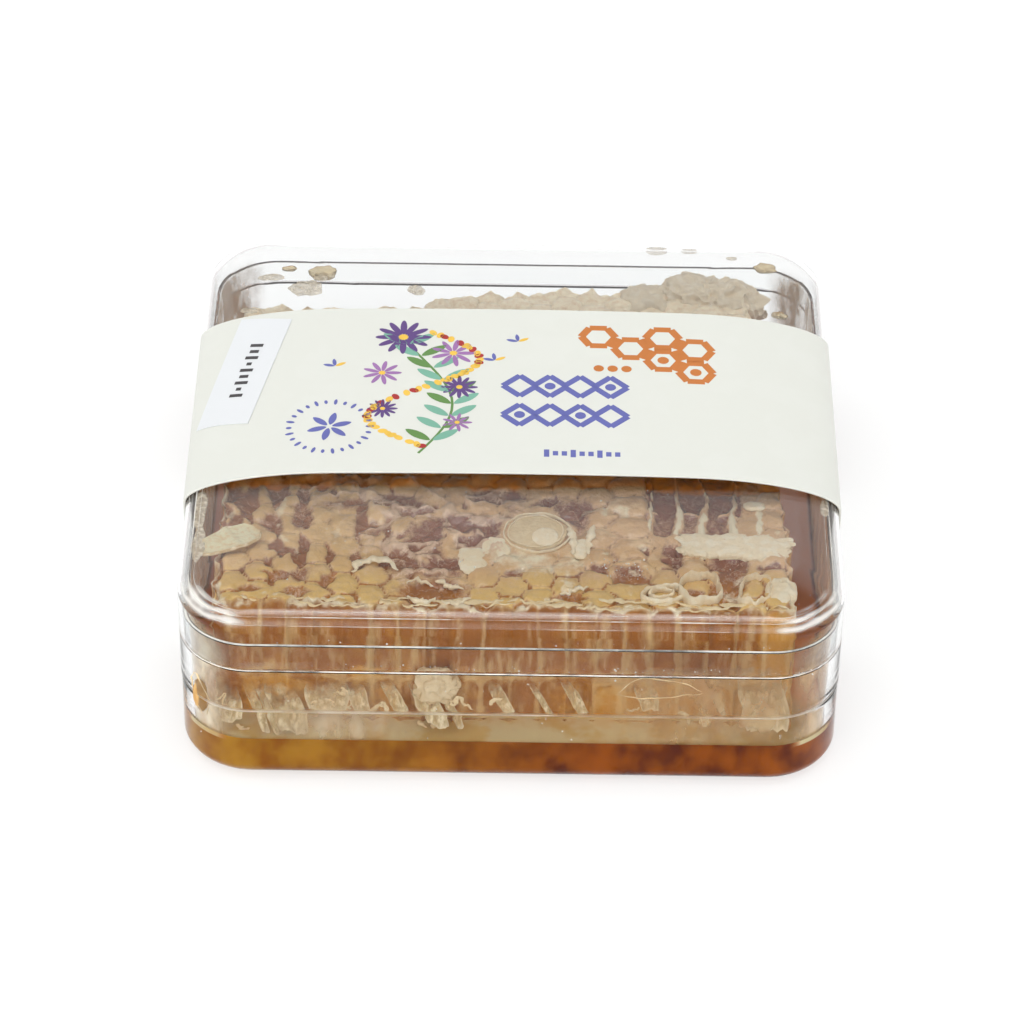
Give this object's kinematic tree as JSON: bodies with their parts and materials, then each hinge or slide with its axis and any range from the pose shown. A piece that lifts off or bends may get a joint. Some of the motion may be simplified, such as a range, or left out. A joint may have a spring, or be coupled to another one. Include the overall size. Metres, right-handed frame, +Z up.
{
  "type": "honeycomb pack",
  "caption": "Piece of cut comb honey in a shut clear square box with rounded corners, a shallow pool of honey round it and a card sleeve with a small sticker.",
  "frame": {"origin": "under the middle of the pack, on the surface it rests on", "axes": "+Z up through the lid, -Y towards the front of the pack, X along the sleeve's band"},
  "size_m": [0.111, 0.11, 0.0393],
  "materials": {
    "crystal_plastic": "clear, hard and glossy injection-moulded polystyrene",
    "sleeve_card": "coated cream card, satin, printed",
    "sticker_paper": "smooth white label paper",
    "comb_wax": "soft waxy caps, wet with honey",
    "honey": "clear amber liquid",
    "clear_wax": "thin translucent wax, wet"
  },
  "bodies": {
    "root": {"box_base": "crystal_plastic", "box_lid": "crystal_plastic", "card_sleeve": "sleeve_card", "date_sticker": "sticker_paper", "honeycomb": "comb_wax", "honey_pool": "honey", "wax_flake": "clear_wax"}
  },
  "joints": []
}
